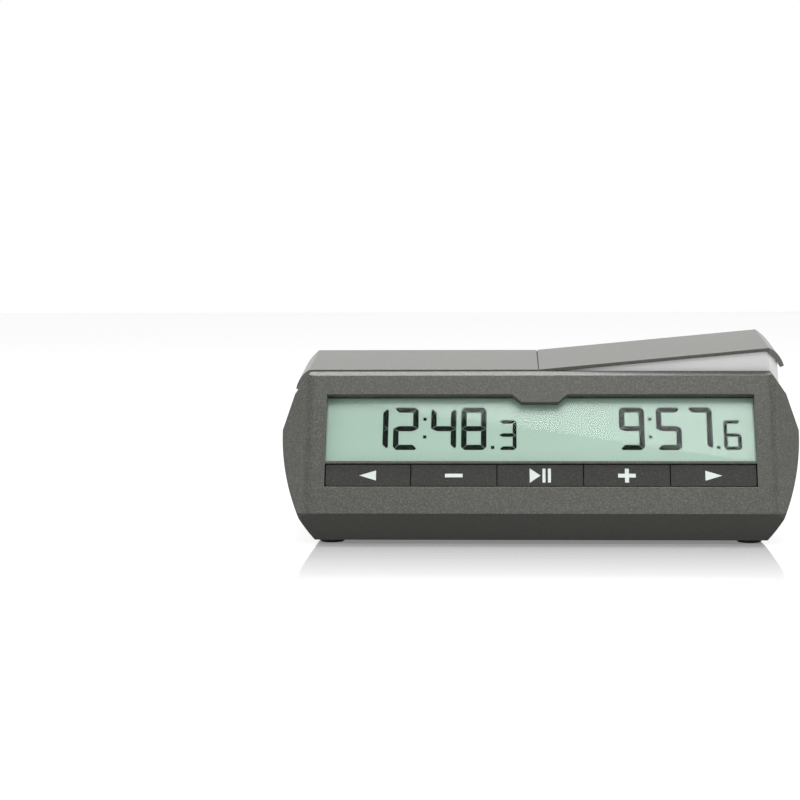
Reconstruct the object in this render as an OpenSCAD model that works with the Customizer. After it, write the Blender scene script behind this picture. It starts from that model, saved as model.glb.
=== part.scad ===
// Digital chess clock with a full-width see-saw button.
// Frame: X is the width, -Y is the side with the display, Z is up, and z = 0 is under the feet.

/* [Body] */
// Width over the two end ridges
body_w = 155; // [150:1:165]
// Depth over the front and back creases
body_d = 53; // [51:0.5:60]
// Height of the crease that parts the housing from the base cover
crease_z = 9.2; // [8.6:0.1:10]
// Set-back of the base cover's bottom edge behind the crease
bevel_set = 2.4; // [1.5:0.1:3]
// Lean of the front face
face_lean = 24; // [22:0.5:25]
// Height of the top edge of the front face
face_top_z = 48.7; // [48:0.1:49.5]
// Lean of the back
back_lean = 2.4; // [1:0.1:3]
// Depth of the chamfered ledge between the front face and the see-saw
ledge_run = 1.8; // [1.4:0.1:2.2]
// Rise of that ledge
ledge_rise = 1.2; // [0.8:0.1:1.4]
// Slope of the top towards the front
top_slope = 9; // [7:0.5:10]
// Height of the end ridges
ridge_z = 32.2; // [31:0.1:34]
// Radius of the ends below the ridges
end_arc_r = 48.7; // [44:0.1:55]
// Lean of the ends above the ridges
end_lean = 19; // [17:0.5:20]
// Half width of the flat front face
face_half = 69.9; // [69:0.1:70.5]
// Radius between the front face and the corner facets
facet_r = 6; // [3:0.5:8]
// Wall of the housing and of the base cover
wall = 2.2; // [1.8:0.1:2.4]
// Floor of the base cover
floor_t = 2.6; // [2.5:0.1:3]

/* [Display recess] */
// Width of the recess that holds the display and the buttons
recess_w = 127.2; // [124:0.2:128]
// Lower edge of the recess, along the face from the crease
recess_low = 8.3; // [8:0.1:9]
// Height of the button row along the face
key_h = 7.2; // [6.5:0.1:7.5]
// Width of the bar between the buttons and the display
bar_w = 0.8; // [0.6:0.1:1]
// Upper edge of the recess, along the face from the crease
recess_high = 37.2; // [36.8:0.1:37.6]
// Depth of the display window behind the face at its lower edge
window_depth = 1; // [0.8:0.1:1.2]
// Lean of the display window
window_lean = 28; // [27:0.25:28.5]
// Half width of the blank tab at its lower edge
tab_half = 6.2; // [5:0.1:8]
// Drop of the tab below the recess's upper edge
tab_drop = 2.5; // [2:0.1:3]

/* [Buttons] */
// Gap round a button
key_gap = 0.3; // [0.3:0.05:0.4]
// Thickness of a button's cap
key_t = 2.2; // [1.8:0.1:2.2]
// Depth of a button's top below the face
key_sink = 0.35; // [0.2:0.05:0.4]
// Travel of a button
key_travel = 0.7; // [0.5:0.05:0.8]
// Radius of a button's stem
key_stem_r = 2.5; // [2:0.1:2.6]

/* [See-saw] */
// Swing between one end down and the other end down
swing = 5.3; // [4.5:0.1:5.5]
// Height of the see-saw's pivot
pivot_z = 45; // [44.8:0.1:45.2]
// Half width of the flat top
top_half = 69.35; // [69:0.05:69.6]
// Height of the flat top above the ledge, at its front edge
top_proud = 0.5; // [0.4:0.05:0.7]
// Thickness of the top plate
plate_t = 1; // [0.8:0.05:1.1]
// Reach of an end flap beyond the flat top
flap_out = 4.65; // [4.4:0.05:4.8]
// Drop of an end flap below the flat top
flap_drop = 6.7; // [6.5:0.05:6.9]
// Radius of an end flap's outside
flap_r = 11; // [10:0.5:20]
// Thickness of an end flap
flap_t = 1.4; // [1.1:0.05:1.5]
// Clearance round the see-saw in its well
well_gap = 0.35; // [0.3:0.05:0.45]
// Corner chamfer of the well
well_chamfer = 3.3; // [3.2:0.1:3.8]
// Thickness of the skirt's walls
skirt_t = 1.2; // [1:0.1:1.4]
// Radius of the pivot pin
pin_r = 1.5; // [1.3:0.05:1.6]
// Running clearance of the pin in the see-saw's eyes
pin_fit = 0.05; // [0.03:0.01:0.08]
// Distance of a switch plunger from the pivot
plunger_x = 12; // [11:0.5:14]
// Radius of a switch plunger
plunger_r = 1.5; // [1.2:0.1:1.6]

/* [Base] */
// Height of the rubber feet below the base
foot_h = 1.2; // [1:0.1:1.3]
// Radius of a rubber foot
foot_r = 3.75; // [3:0.05:4]
// Sideways place of the feet
foot_x = 61.7; // [60:0.1:62]
// Front and back place of the feet
foot_y = 17.9; // [17:0.1:18.5]
// Radius of the battery cell
cell_r = 7.25; // [7:0.05:7.25]
// Length of the battery cell without its button
cell_len = 49.5; // [48:0.5:50]
// Place of the battery cell front to back
cell_y = 8; // [7.5:0.1:8.5]
// Thickness of the battery door
door_t = 2; // [1.8:0.1:2.1]
// Clearance round the battery door
door_gap = 0.25; // [0.2:0.05:0.3]
// Travel of the power switch
power_travel = 2.6; // [2:0.1:3]

/* [Hidden] */
$fn = 64;
eps = 0.01;
big = 200;

// Body outline
half_w = body_w / 2;
half_d = body_d / 2;
end_arc_x = half_w - end_arc_r;
face_top_y = -half_d + (face_top_z - crease_z) * tan(face_lean);
ledge_y = face_top_y + ledge_run;
ledge_z = face_top_z + ledge_rise;
back_rim = 1.65;
back_ledge_drop = 1;
back_top_z = crease_z + 44.4;
back_top_y = half_d - (back_top_z - crease_z) * tan(back_lean);

// See-saw well, and the see-saw itself
well_y0 = ledge_y;
well_y1 = back_top_y - back_rim;
flap_x = top_half + flap_out;
well_x = flap_x - flap_t + 0.1;
deck_fit = 0.15;
skirt_gap = 0.9;
top_y = well_y0 + well_gap;
top_z = ledge_z + top_proud;
back_edge_y = well_y1 - well_gap;
floor_z = 41.9;
floor_plate = 1.5;
floor_half = 66.2;
pocket_z = 36.3;
step_t = 1.3;
skirt_z = floor_z + 0.8;
skirt_end_z = pocket_z + 0.5;
skirt_end_x = floor_half + step_t + 0.8;
skirt_top_t = 1.2;
seat_gap = 0.35;
stop_gap = 0.3;
stop_x = 60;
stop_y = 8;
rib_z = floor_z + 1.7;
eye_r = 2.6;
eye_y = [0.6, 15.4];
ear_y = [-3.2, 19.2];
ear_t = 2.6;
pin_y0 = ear_y[0] - ear_t / 2 - 0.8;
pin_y1 = ear_y[1] + ear_t / 2 + 0.8;

// Plungers and their switches
plunger_y = 8;
plunger_pad_z = floor_z + 2.1;
plunger_gap = 0.3;
plunger_head_r = plunger_r + 0.5;
plunger_head_h = 1;
switch_size = [6.2, 6.2, 3.4];
switch_board_z = 32.4;
switch_board_t = 1.6;
switch_z = switch_board_z + switch_board_t;

// Display stack, from the window inwards
window_s = recess_low + key_h + bar_w + 0.35;
window_y = -half_d + window_s * sin(face_lean) + window_depth * cos(face_lean);
window_z = crease_z + window_s * cos(face_lean) - window_depth * sin(face_lean);
window_t = 0.8;
window_h = 21.1;
window_half = recess_w / 2 + 1.6;
glass_w = window_t + 0.1;
glass_t = 1.8;
glass_h = 20.6;
glass_half = window_half - 0.2;
bracket_w = glass_w + glass_t + 0.05;
bracket_t = 0.75;
board_w = bracket_w + bracket_t + 0.1;
board_t = 1.6;
board_half = floor_half - 0.6;
board_top = 18.2;
board_ear_x = 68.3;
board_hole_v = [2.9, 10.4];

// Keys, from the face inwards
pitch = recess_w / 5;
key_floor = key_sink + key_t + key_travel + 0.35;
web_t = 1;
web_back = key_floor + web_t;
clip_h = 0.5;
clip_w = web_back + 0.3;
dome_w = clip_w + clip_h + key_travel + 0.2;
dome_h = 0.3;
mat_t = 0.6;
key_board_w = dome_w + dome_h + mat_t;
key_board_t = 1.2;
key_s = recess_low + key_h / 2;
key_post_x = [-2.33, -0.5, 0.5, 2.33];

// Base
cavity_z = floor_z - floor_plate;
base_floor_z = foot_h + floor_t;
lip_h = 2;
lip_t = 1.2;
lip_fit = 0.15;
cell_z = foot_h + door_t + 0.45 + cell_r;
bay_r = cell_r + 0.3;
bay_wall = 1.4;
bay_half = cell_len / 2 + 5;
door_half = bay_half - 0.4;
door_y0 = cell_y - bay_r;
tongue = 0.9;
tongue_t = 0.8;
power_x = -42;
power_y = 6;
base_screw_x = 50;
base_screw_y = [-19.8, 18.6];
shelf_z = pocket_z - floor_plate;
deck_screw_x = 69.4;
deck_screw_y = [1, 15];

// Turns and straight parts
function unit(v) = v / norm(v);
function inward(a, b) = let (u = unit(b - a)) [-u[1], u[0]];
// Outline p, counter-clockwise, with every side moved inwards by d
function inset(p, d) = [
    for (i = [0:len(p) - 1])
        let (a = p[(i + len(p) - 1) % len(p)], b = p[i], c = p[(i + 1) % len(p)])
        let (m = inward(a, b), n = inward(b, c))
        b + d * (m + n) / (1 + m * n)
];
function arc(c, r, a0, a1, steps) = [
    for (i = [0:steps]) c + r * [cos(a0 + (a1 - a0) * i / steps), sin(a0 + (a1 - a0) * i / steps)]
];
function mirrored(p) = [for (i = [len(p) - 1:-1:0]) [-p[i][0], p[i][1]]];

module extrude_x(w) rotate([90, 0, 90]) linear_extrude(w, center = true) children();
module extrude_y(d) rotate([90, 0, 0]) linear_extrude(d, center = true) children();
module sides() for (s = [0, 1]) mirror([s, 0, 0]) children();
module slab(z0, z1) translate([-big / 2, -big / 2, z0]) cube([big, big, z1 - z0]);

// Front face frame: Z runs up the face from the crease, Y runs square into it
module face_frame() translate([0, -half_d, crease_z]) rotate([-face_lean, 0, 0]) children();
// Window frame: Z runs up the window from its lower edge, Y runs square into it
module window_frame() translate([0, window_y, window_z]) rotate([-window_lean, 0, 0]) children();
// Top frame: Y runs up the sloped top from the see-saw's front edge
module top_frame() translate([0, top_y, top_z]) rotate([top_slope, 0, 0]) children();
// A block in such a frame, with x from -x to x, y from y0 to y1 and z from z0 to z1
module block(x, y0, y1, z0, z1) translate([-x, y0, z0]) cube([2 * x, y1 - y0, z1 - z0]);

// Body solid

side_outline = [
    [-half_d + bevel_set, foot_h],
    [half_d - bevel_set, foot_h],
    [half_d, crease_z],
    [back_top_y, back_top_z],
    [well_y1, back_top_z + back_ledge_drop],
    [ledge_y, ledge_z],
    [face_top_y, face_top_z],
    [-half_d, crease_z]
];

shell_top = 62;
shell_outline = [
    [-half_d + bevel_set, foot_h],
    [half_d - bevel_set, foot_h],
    [half_d, crease_z],
    [half_d - (shell_top - crease_z) * tan(back_lean), shell_top],
    [-half_d + (shell_top - crease_z) * tan(face_lean), shell_top],
    [-half_d, crease_z]
];

module end_outline(d) {
    x_top = half_w - d / cos(end_lean) - (big / 2 - ridge_z) * tan(end_lean);
    x_low = half_w - d / cos(end_lean) + (ridge_z + big / 2) * tan(end_lean);
    intersection() {
        union() {
            sides() intersection() {
                translate([end_arc_x, ridge_z]) circle(end_arc_r - d, $fn = 128);
                translate([0, -big / 2]) square([big, big / 2 + ridge_z]);
            }
            translate([-half_w + d, ridge_z]) square([body_w - 2 * d, big / 2]);
            translate([-end_arc_x, -big / 2 + ridge_z]) square([2 * end_arc_x, big / 2]);
        }
        polygon([[-x_low, -big / 2], [x_low, -big / 2], [x_top, big / 2], [-x_top, big / 2]]);
    }
}

// Plan of a face with two soft 45-degree corner facets
facet_c = [face_half - facet_r * tan(22.5), facet_r];
function facet_plan(d) = let (q = arc(facet_c, facet_r - d, -90, -45, 6))
    let (far = q[6] + [big / 2, big / 2])
    concat(q, [far, [-far[0], far[1]]], mirrored(q));

// Outer body moved inwards by d; the inner bodies leave the sloped top's ledges out
module body_solid(d) {
    intersection() {
        extrude_x(big) polygon(d == 0 ? side_outline : inset(shell_outline, d));
        extrude_y(big) end_outline(d);
        face_frame() linear_extrude(big, center = true) polygon(facet_plan(d));
        translate([0, half_d, crease_z]) mirror([0, 1, 0]) rotate([-back_lean, 0, 0])
            linear_extrude(big, center = true) polygon(facet_plan(d));
    }
}

// See-saw well

well_outline = [
    [well_chamfer - well_x, well_y0], [well_x - well_chamfer, well_y0],
    [well_x, well_y0 + well_chamfer], [well_x, well_y1 - well_chamfer],
    [well_x - well_chamfer, well_y1], [well_chamfer - well_x, well_y1],
    [-well_x, well_y1 - well_chamfer], [-well_x, well_y0 + well_chamfer]
];
// Plan of the see-saw's cover, whose corners run on out to the flaps
cover_outline = [
    [-top_half, top_y], [top_half, top_y], [top_half + 10, top_y + 10],
    [top_half + 10, back_edge_y - 10], [top_half, back_edge_y], [-top_half, back_edge_y],
    [-top_half - 10, back_edge_y - 10], [-top_half - 10, top_y + 10]
];
// Flap's outside in the top frame, an arc from the edge of the flat top to the tip
flap_a = [top_half, 0];
flap_b = [flap_x, -flap_drop];
flap_chord = norm(flap_b - flap_a);
flap_dir = unit(flap_b - flap_a);
flap_c = (flap_a + flap_b) / 2
    + sqrt(flap_r * flap_r - flap_chord * flap_chord / 4) * [flap_dir[1], -flap_dir[0]];
flap_turn = atan2(flap_a[1] - flap_c[1], flap_a[0] - flap_c[0]);
flap_end = atan2(flap_b[1] - flap_c[1], flap_b[0] - flap_c[0]);
seat_drop = flap_drop + seat_gap;

module flap_outline(d) {
    outer = arc(flap_c, flap_r - d, flap_end, flap_turn, 12);
    polygon(concat([[0, -flap_drop], [outer[0][0], -flap_drop]], outer, [[0, -d]]));
}

// Everything above the seats of the end flaps
module seat_cut() {
    sides() {
        top_frame() extrude_y(big) polygon([
            [top_half - 0.35, -0.45], [flap_x - 0.4, -seat_drop], [big / 2, -seat_drop],
            [big / 2, big / 4], [top_half - 0.35, big / 4]
        ]);
        intersection() {
            translate([0, 0, cavity_z]) linear_extrude(big / 4) polygon(inset(cover_outline, -0.3));
            top_frame() extrude_y(big) translate([top_half - 2, -seat_drop]) square([20, 40]);
        }
    }
}

// Housing

module recess_cut() {
    face_frame() {
        block(recess_w / 2, -5, key_floor, recess_low, recess_low + key_h);
        difference() {
            block(recess_w / 2, -5, window_depth + 6, recess_low + key_h + bar_w, recess_high);
            rotate([90, 0, 0]) linear_extrude(40, center = true) tab_outline();
        }
    }
}

module tab_outline() {
    low = recess_high - tab_drop;
    r = 0.7;
    polygon([
        [-tab_half - 2.1, recess_high + 1], [-tab_half - 2.1, recess_high],
        [-tab_half, low + r], [-tab_half + r, low], [tab_half - r, low], [tab_half, low + r],
        [tab_half + 2.1, recess_high], [tab_half + 2.1, recess_high + 1]
    ]);
}

// Space behind the plane of the window's front
module display_pocket() {
    window_frame() {
        block(window_half + 0.1, 0, glass_w + 0.05, -0.15, window_h + 0.1);
        block(glass_half + 0.25, 0, 30, 0, glass_h + 0.15);
    }
}

module board_boss(hole) {
    sides() for (v = board_hole_v) window_frame() translate([board_ear_x, 0, v]) rotate([-90, 0, 0]) {
        if (hole) translate([0, 0, board_w - 4.5]) cylinder(r = 0.82, h = 5);
        else translate([0, 0, -12]) cylinder(r = 2, h = board_w + 12);
    }
}

module key_post(hole) {
    for (i = key_post_x) face_frame() translate([i * pitch, 0, key_s]) rotate([-90, 0, 0]) {
        if (hole) translate([0, 0, key_board_w - 3]) cylinder(r = 0.72, h = 4);
        else translate([0, 0, key_floor]) cylinder(r = 1.7, h = key_board_w - key_floor);
    }
}

module housing_boss() {
    for (s = [-1, 1]) {
        translate([s * base_screw_x, base_screw_y[0], crease_z]) cylinder(r = 2.6, h = 4.6);
        translate([s * base_screw_x - 0.8, -half_d, crease_z]) cube([1.6, half_d + base_screw_y[0], 4]);
        translate([s * base_screw_x, base_screw_y[1], crease_z]) cylinder(r = 2.6, h = 10);
        translate([s * base_screw_x - 0.8, base_screw_y[1], crease_z]) cube([1.6, half_d, 9]);
    }
}

module housing_shelf() {
    for (s = [-1, 1]) intersection() {
        translate([s * (well_x + 2.5), 0, shelf_z - 4.5]) cube([12, big, 9], center = true);
        slab(shelf_z - 1.8, shelf_z);
    }
    for (s = [-1, 1], y = deck_screw_y)
        translate([s * deck_screw_x, y, shelf_z - 6]) cylinder(r = 2.3, h = 6);
}

module main_housing() {
    color([0.32, 0.32, 0.3]) difference() {
        union() {
            difference() {
                intersection() {
                    body_solid(0);
                    slab(crease_z, big);
                }
                intersection() {
                    body_solid(wall);
                    slab(0, cavity_z);
                }
            }
            intersection() {
                body_solid(wall - 0.2);
                slab(crease_z, big);
                union() {
                    // Frame round the display and the web behind the buttons
                    difference() {
                        face_frame() block(recess_w / 2 + 1.8, 0, 9, recess_low - 1.5, recess_high + 2);
                        window_frame() block(big / 2, 0, 40, -0.15, big / 2);
                        face_frame() block(big / 2, web_back, 40, -big / 2, window_s);
                    }
                    difference() {
                        union() {
                            board_boss(false);
                            key_post(false);
                        }
                        recess_cut();
                    }
                    housing_boss();
                    difference() {
                        housing_shelf();
                        translate([0, 0, shelf_z]) linear_extrude(big) square(big, center = true);
                    }
                }
            }
        }
        recess_cut();
        display_pocket();
        translate([0, 0, cavity_z - eps]) linear_extrude(big / 4) polygon(well_outline);
        seat_cut();
        // End pockets under the well
        intersection() {
            sides() translate([floor_half - 0.1, -big / 2, shelf_z]) cube([big / 2, big, big / 4]);
            linear_extrude(big) polygon(well_outline);
        }
        board_boss(true);
        key_post(true);
        for (i = [-2:2]) face_frame() translate([i * pitch, 0, key_s]) rotate([-90, 0, 0])
            cylinder(r = key_stem_r + 0.4, h = 12);
        for (s = [-1, 1], y = base_screw_y)
            translate([s * base_screw_x, y, 0]) cylinder(r = 1.12, h = y < 0 ? crease_z + 4 : crease_z + 8);
        for (s = [-1, 1], y = deck_screw_y)
            translate([s * deck_screw_x, y, shelf_z - 5]) cylinder(r = 0.92, h = 6);
    }
}

// Base cover, with the battery bay and the base's four posts

module bay(d) {
    translate([0, cell_y, 0]) extrude_x(2 * (bay_half + d)) union() {
        translate([0, cell_z]) circle(bay_r + d);
        translate([-bay_r - d, 0]) square([2 * (bay_r + d), cell_z]);
    }
}

module door_solid(gap, reach) {
    translate([-door_half - gap, door_y0 - gap, 0])
        cube([2 * (door_half + gap), reach, foot_h + door_t + gap]);
    translate([-door_half - gap - tongue, door_y0 - gap + (gap > 0 ? 0 : 2), foot_h + 0.8 - gap])
        cube([2 * (door_half + gap + tongue), min(reach, 16 + (gap > 0 ? big : 0)), tongue_t + 2 * gap]);
}

module power_slot() {
    translate([power_x, power_y, foot_h]) {
        translate([-5 - power_travel / 2, -2.4, -1]) cube([10 + power_travel, 4.8, 2.4]);
        translate([-1.1 - power_travel / 2 - 0.2, -1.1, 0]) cube([2.2 + power_travel + 0.4, 2.2, 6]);
    }
}

module base_cover() {
    color([0.26, 0.26, 0.25]) difference() {
        union() {
            difference() {
                intersection() {
                    body_solid(0);
                    slab(0, crease_z);
                }
                intersection() {
                    body_solid(wall);
                    slab(base_floor_z, big);
                }
            }
            // Lip that locates the housing
            difference() {
                intersection() {
                    body_solid(wall + lip_fit);
                    slab(crease_z - 2, crease_z + lip_h);
                }
                body_solid(wall + lip_fit + lip_t);
                for (s = [-1, 1], y = base_screw_y) translate([s * base_screw_x, y, crease_z + 5])
                    cube([7, 13, 10], center = true);
            }
            difference() {
                intersection() {
                    body_solid(wall - 0.4);
                    slab(crease_z - 3, crease_z - 1);
                }
                body_solid(wall + lip_fit + lip_t);
            }
            intersection() {
                bay(bay_wall);
                slab(foot_h, big);
            }
            for (s = [-1, 1], y = base_screw_y) translate([s * base_screw_x, y, foot_h])
                cylinder(r = 3.4, h = crease_z - foot_h);
        }
        bay(0);
        door_solid(door_gap, big);
        power_slot();
        for (s = [-1, 1], y = base_screw_y) translate([s * base_screw_x, y, 0]) {
            cylinder(r = 2.6, h = foot_h + 4.2);
            cylinder(r = 1.35, h = 20);
        }
        for (s = [-1, 1], t = [-1, 1]) translate([s * foot_x, t * foot_y, 0])
            cylinder(r = foot_r + 0.05, h = foot_h + 0.6);
    }
}

// See-saw: drawn with its left end down. half_level() is its right half when that end is down

module about_pivot(a) translate([0, 0, pivot_z]) rotate([0, -a, 0]) translate([0, 0, -pivot_z]) children();

module seesaw() {
    about_pivot(swing / 2) sides() intersection() {
        about_pivot(swing / 2) children();
        translate([0, -big / 2, 0]) cube([big, big, big]);
    }
}

// Hollow under the plate and inside the flap, which the skirt fills from below
module cover_hollow() {
    deep = big / 2;
    inner_x = flap_b[0] - flap_t;
    top_frame() extrude_y(big) intersection() {
        translate([-10, -deep]) square([big / 2, deep - plate_t]);
        union() {
            translate([-10, -deep]) square([flap_c[0] + 10, deep + 10]);
            translate(flap_c) circle(flap_r - flap_t, $fn = 96);
            translate([flap_c[0] - 5, -deep]) square([inner_x - flap_c[0] + 5, deep - flap_drop + 0.6]);
        }
    }
}

module cover_half() {
    difference() {
        intersection() {
            top_frame() extrude_y(big) flap_outline(0);
            translate([0, 0, pocket_z]) linear_extrude(big) polygon(cover_outline);
        }
        cover_hollow();
    }
}

module rocker_cover() {
    color([0.62, 0.62, 0.6]) difference() {
        seesaw() cover_half();
        // Groove across the middle
        about_pivot(swing / 2) top_frame() extrude_y(big)
            polygon([[0, -0.55], [0.35, 0.5], [-0.35, 0.5]]);
    }
}

// All that lies d or more below the underside of the top plate
module under_plate(d) {
    top_frame() translate([-big / 2, -big / 2, -big - plate_t - d]) cube([big, big, big]);
}

module skirt_ring(d) linear_extrude(big) polygon(inset(well_outline, skirt_gap + d));

module skirt_half() {
    difference() {
        intersection() {
            skirt_ring(0);
            cover_hollow();
            union() {
                slab(skirt_z, big);
                translate([skirt_end_x, -big / 2, skirt_end_z]) cube([big, big, big]);
            }
        }
        difference() {
            intersection() {
                skirt_ring(skirt_t);
                under_plate(skirt_top_t);
            }
            // Ribs across the hollow, the stop and the switch pads
            for (x = [24, 42, 54]) translate([x, -big / 2, skirt_z + 1.2]) cube([1.2, big, big]);
            translate([stop_x - 3, stop_y - 4, rib_z]) cube([6, 8, big]);
            translate([plunger_x, plunger_y, plunger_pad_z]) cylinder(r = 3, h = big);
            for (y = eye_y) translate([0, y - 2, pivot_z]) cube([6, 4, big]);
            for (y = eye_y) translate([0, y, pivot_z]) rotate([90, 0, 0])
                cylinder(r = eye_r, h = 4, center = true);
        }
        translate([0, 0, pivot_z]) rotate([90, 0, 0]) cylinder(r = pin_r + pin_fit, h = big, center = true);
    }
}

module rocker_skirt() color([0.93, 0.93, 0.92]) seesaw() skirt_half();

module rocker_pin() {
    color([0.75, 0.75, 0.76]) translate([0, pin_y0, pivot_z]) rotate([-90, 0, 0])
        cylinder(r = pin_r, h = pin_y1 - pin_y0);
}

// Deck that closes the well under the see-saw and carries its pin

module inner_deck() {
    color([0.45, 0.45, 0.44]) difference() {
        union() {
            intersection() {
                translate([0, 0, shelf_z]) linear_extrude(floor_z - shelf_z)
                    polygon(inset(well_outline, deck_fit));
                difference() {
                    union() {
                        slab(floor_z - floor_plate, floor_z);
                        sides() translate([floor_half, -big / 2, shelf_z]) cube([step_t, big, 12]);
                        sides() translate([floor_half, -big / 2, shelf_z]) cube([big, big, floor_plate]);
                    }
                    sides() translate([floor_half + step_t, -big / 2, pocket_z]) cube([big, big, big]);
                }
            }
            for (y = ear_y) translate([0, y, 0]) rotate([90, 0, 0]) linear_extrude(ear_t, center = true)
                union() {
                    translate([0, pivot_z]) circle(pin_r + 1.1);
                    polygon([[-4, floor_z - 0.5], [4, floor_z - 0.5], [2.4, pivot_z], [-2.4, pivot_z]]);
                }
            // Posts for the switch board
            for (s = [-1, 1]) translate([s * 21, plunger_y, switch_z])
                cylinder(r = 2, h = floor_z - floor_plate - switch_z + eps);
        }
        translate([0, 0, pivot_z]) rotate([90, 0, 0]) cylinder(r = pin_r + 0.01, h = big, center = true);
        for (s = [-1, 1]) translate([s * plunger_x, plunger_y, 0]) cylinder(r = plunger_r + 0.3, h = big);
        for (s = [-1, 1]) translate([s * 21, plunger_y, switch_z - 1]) cylinder(r = 0.82, h = 5);
        window_frame() block(floor_half + 3, -5, board_w + board_t + 0.4, -5, window_h + 0.3);
        for (s = [-1, 1], y = deck_screw_y) translate([s * deck_screw_x, y, 0]) {
            cylinder(r = 1.1, h = pocket_z + 1);
            translate([0, 0, pocket_z - 0.9]) cylinder(r = 1.9, h = 5);
        }
    }
}

module rocker_bumpers() {
    color([0.12, 0.12, 0.12]) sides() translate([stop_x - 4, stop_y - 5, floor_z])
        cube([8, 10, rib_z - floor_z - stop_gap]);
}

// Switches under the see-saw

// Height of the pad over a plunger on side s, in the drawn pose
function pad_z(s) = s < 0 ? plunger_pad_z
    : pivot_z + plunger_x * sin(swing) + (plunger_pad_z - pivot_z) * cos(swing);

module plunger(s) {
    z1 = pad_z(s) - plunger_gap;
    z0 = switch_z + 0.7 + (pad_z(s) - pad_z(-1));
    color([0.85, 0.8, 0.7]) translate([s * plunger_x, plunger_y, 0]) {
        translate([0, 0, z0]) cylinder(r = plunger_r, h = z1 - z0 - plunger_r);
        translate([0, 0, z1 - plunger_r]) sphere(plunger_r);
    }
}

module plunger_left() plunger(-1);
module plunger_right() plunger(1);

module switch_bodies() {
    color([0.15, 0.15, 0.16]) for (s = [-1, 1]) translate([s * plunger_x, plunger_y, switch_z]) {
        difference() {
            translate([-switch_size[0] / 2, -switch_size[1] / 2, 0]) cube(switch_size);
            translate([0, 0, 0.4]) cylinder(r = plunger_r + 0.3, h = 10);
            for (a = [0:90:270]) rotate([0, 0, a]) translate([switch_size[0] / 2, switch_size[1] / 2, 0])
                rotate([0, 0, 45]) cube([1, 1, 20], center = true);
        }
    }
}

module switch_board() {
    color([0.15, 0.4, 0.25]) difference() {
        translate([-24, plunger_y - 6, switch_board_z]) cube([48, 12, switch_board_t]);
        for (s = [-1, 1]) translate([s * 21, plunger_y, 0]) cylinder(r = 1.1, h = big);
    }
}

// Keys

module key(i, glyph) {
    face_frame() translate([i * pitch, 0, key_s]) {
        difference() {
            key_cap(i);
            // Shallow icon
            translate([0, key_sink + 0.15, 0]) rotate([90, 0, 0]) linear_extrude(5) children();
        }
        rotate([-90, 0, 0]) {
            translate([0, 0, key_sink + key_t - eps]) cylinder(r = key_stem_r, h = clip_w - key_sink - key_t + eps);
            translate([0, 0, clip_w]) cylinder(r1 = key_stem_r + 0.8, r2 = key_stem_r + 0.3, h = clip_h);
        }
    }
}

module key_cap(i) {
    x = pitch / 2 - (abs(i) == 2 ? key_gap : key_gap / 2);
    x0 = i == -2 ? -x : -pitch / 2 + key_gap / 2;
    x1 = i == 2 ? x : pitch / 2 - key_gap / 2;
    z = key_h / 2 - key_gap;
    r = 0.8;
    rl = i == -2 ? r : 0.15;
    rr = i == 2 ? r : 0.15;
    translate([0, key_sink, 0]) rotate([90, 0, 0]) mirror([0, 0, 1]) linear_extrude(key_t) polygon(concat(
        arc([x0 + rl, -z + rl], rl, 180, 270, 6), arc([x1 - rr, -z + rr], rr, 270, 360, 6),
        [[x1, z], [x0, z]]
    ));
}

module triangle(w, h) polygon([[-w / 2, -h / 2], [w / 2, 0], [-w / 2, h / 2]]);
module bar(w, h) square([w, h], center = true);

module button_back() color([0.25, 0.25, 0.25]) key(-2) mirror([1, 0]) triangle(5, 3.1);
module button_minus() color([0.25, 0.25, 0.25]) key(-1) bar(5.2, 1.15);
module button_play() color([0.25, 0.25, 0.25]) key(0) {
    translate([-1.5, 0]) triangle(3.2, 4.5);
    for (x = [1.1, 2.7]) translate([x, 0]) bar(0.9, 4.3);
}
module button_plus() color([0.25, 0.25, 0.25]) key(1) {
    bar(5.2, 1.2);
    bar(1.2, 4.3);
}
module button_forward() color([0.25, 0.25, 0.25]) key(2) triangle(5, 3.1);

module key_mat() {
    color([0.75, 0.75, 0.72]) face_frame() difference() {
        union() {
            translate([0, 0, 0]) block(pitch * 2.2, dome_w + dome_h, key_board_w, key_s - 3, key_s + 3);
            for (i = [-2:2]) translate([i * pitch, dome_w, key_s]) rotate([-90, 0, 0])
                cylinder(r1 = 1.6, r2 = 2.4, h = dome_h + eps);
        }
        for (i = key_post_x) translate([i * pitch, 0, key_s]) rotate([-90, 0, 0]) cylinder(r = 1.9, h = 30);
    }
}

module key_board() {
    color([0.15, 0.4, 0.25]) face_frame() difference() {
        block(pitch * 2.42, key_board_w, key_board_w + key_board_t, recess_low - 0.2, recess_low + key_h);
        for (i = key_post_x) translate([i * pitch, 0, key_s]) rotate([-90, 0, 0]) cylinder(r = 1, h = 30);
    }
}

// Display stack

module display_window() {
    color([0.8, 0.85, 0.82]) window_frame() block(window_half, 0, window_t, -0.1, window_h);
}

module lcd_glass() {
    color([0.7, 0.83, 0.76]) window_frame() block(glass_half, glass_w, glass_w + glass_t, 0.1, glass_h);
}

module lcd_bracket() {
    color([0.8, 0.8, 0.78]) window_frame() difference() {
        block(board_half, bracket_w, bracket_w + bracket_t, 0.4, glass_h - 0.6);
        block(board_half - 6, 0, 10, 4, glass_h - 3.5);
        block(board_half - 10, 0, 10, 1.1, 3);
    }
}

module zebra_strip() {
    color([0.85, 0.5, 0.5]) window_frame()
        block(board_half - 10.2, glass_w + glass_t, board_w, 1.3, 2.8);
}

module main_board() {
    color([0.12, 0.38, 0.22]) window_frame() difference() {
        union() {
            block(board_half, board_w, board_w + board_t, 0.3, board_top);
            block(board_ear_x + 2, board_w, board_w + board_t, 0.9, 12.4);
        }
        for (s = [-1, 1], v = board_hole_v) translate([s * board_ear_x, 0, v]) rotate([-90, 0, 0])
            cylinder(r = 1.1, h = 20);
    }
}

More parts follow.
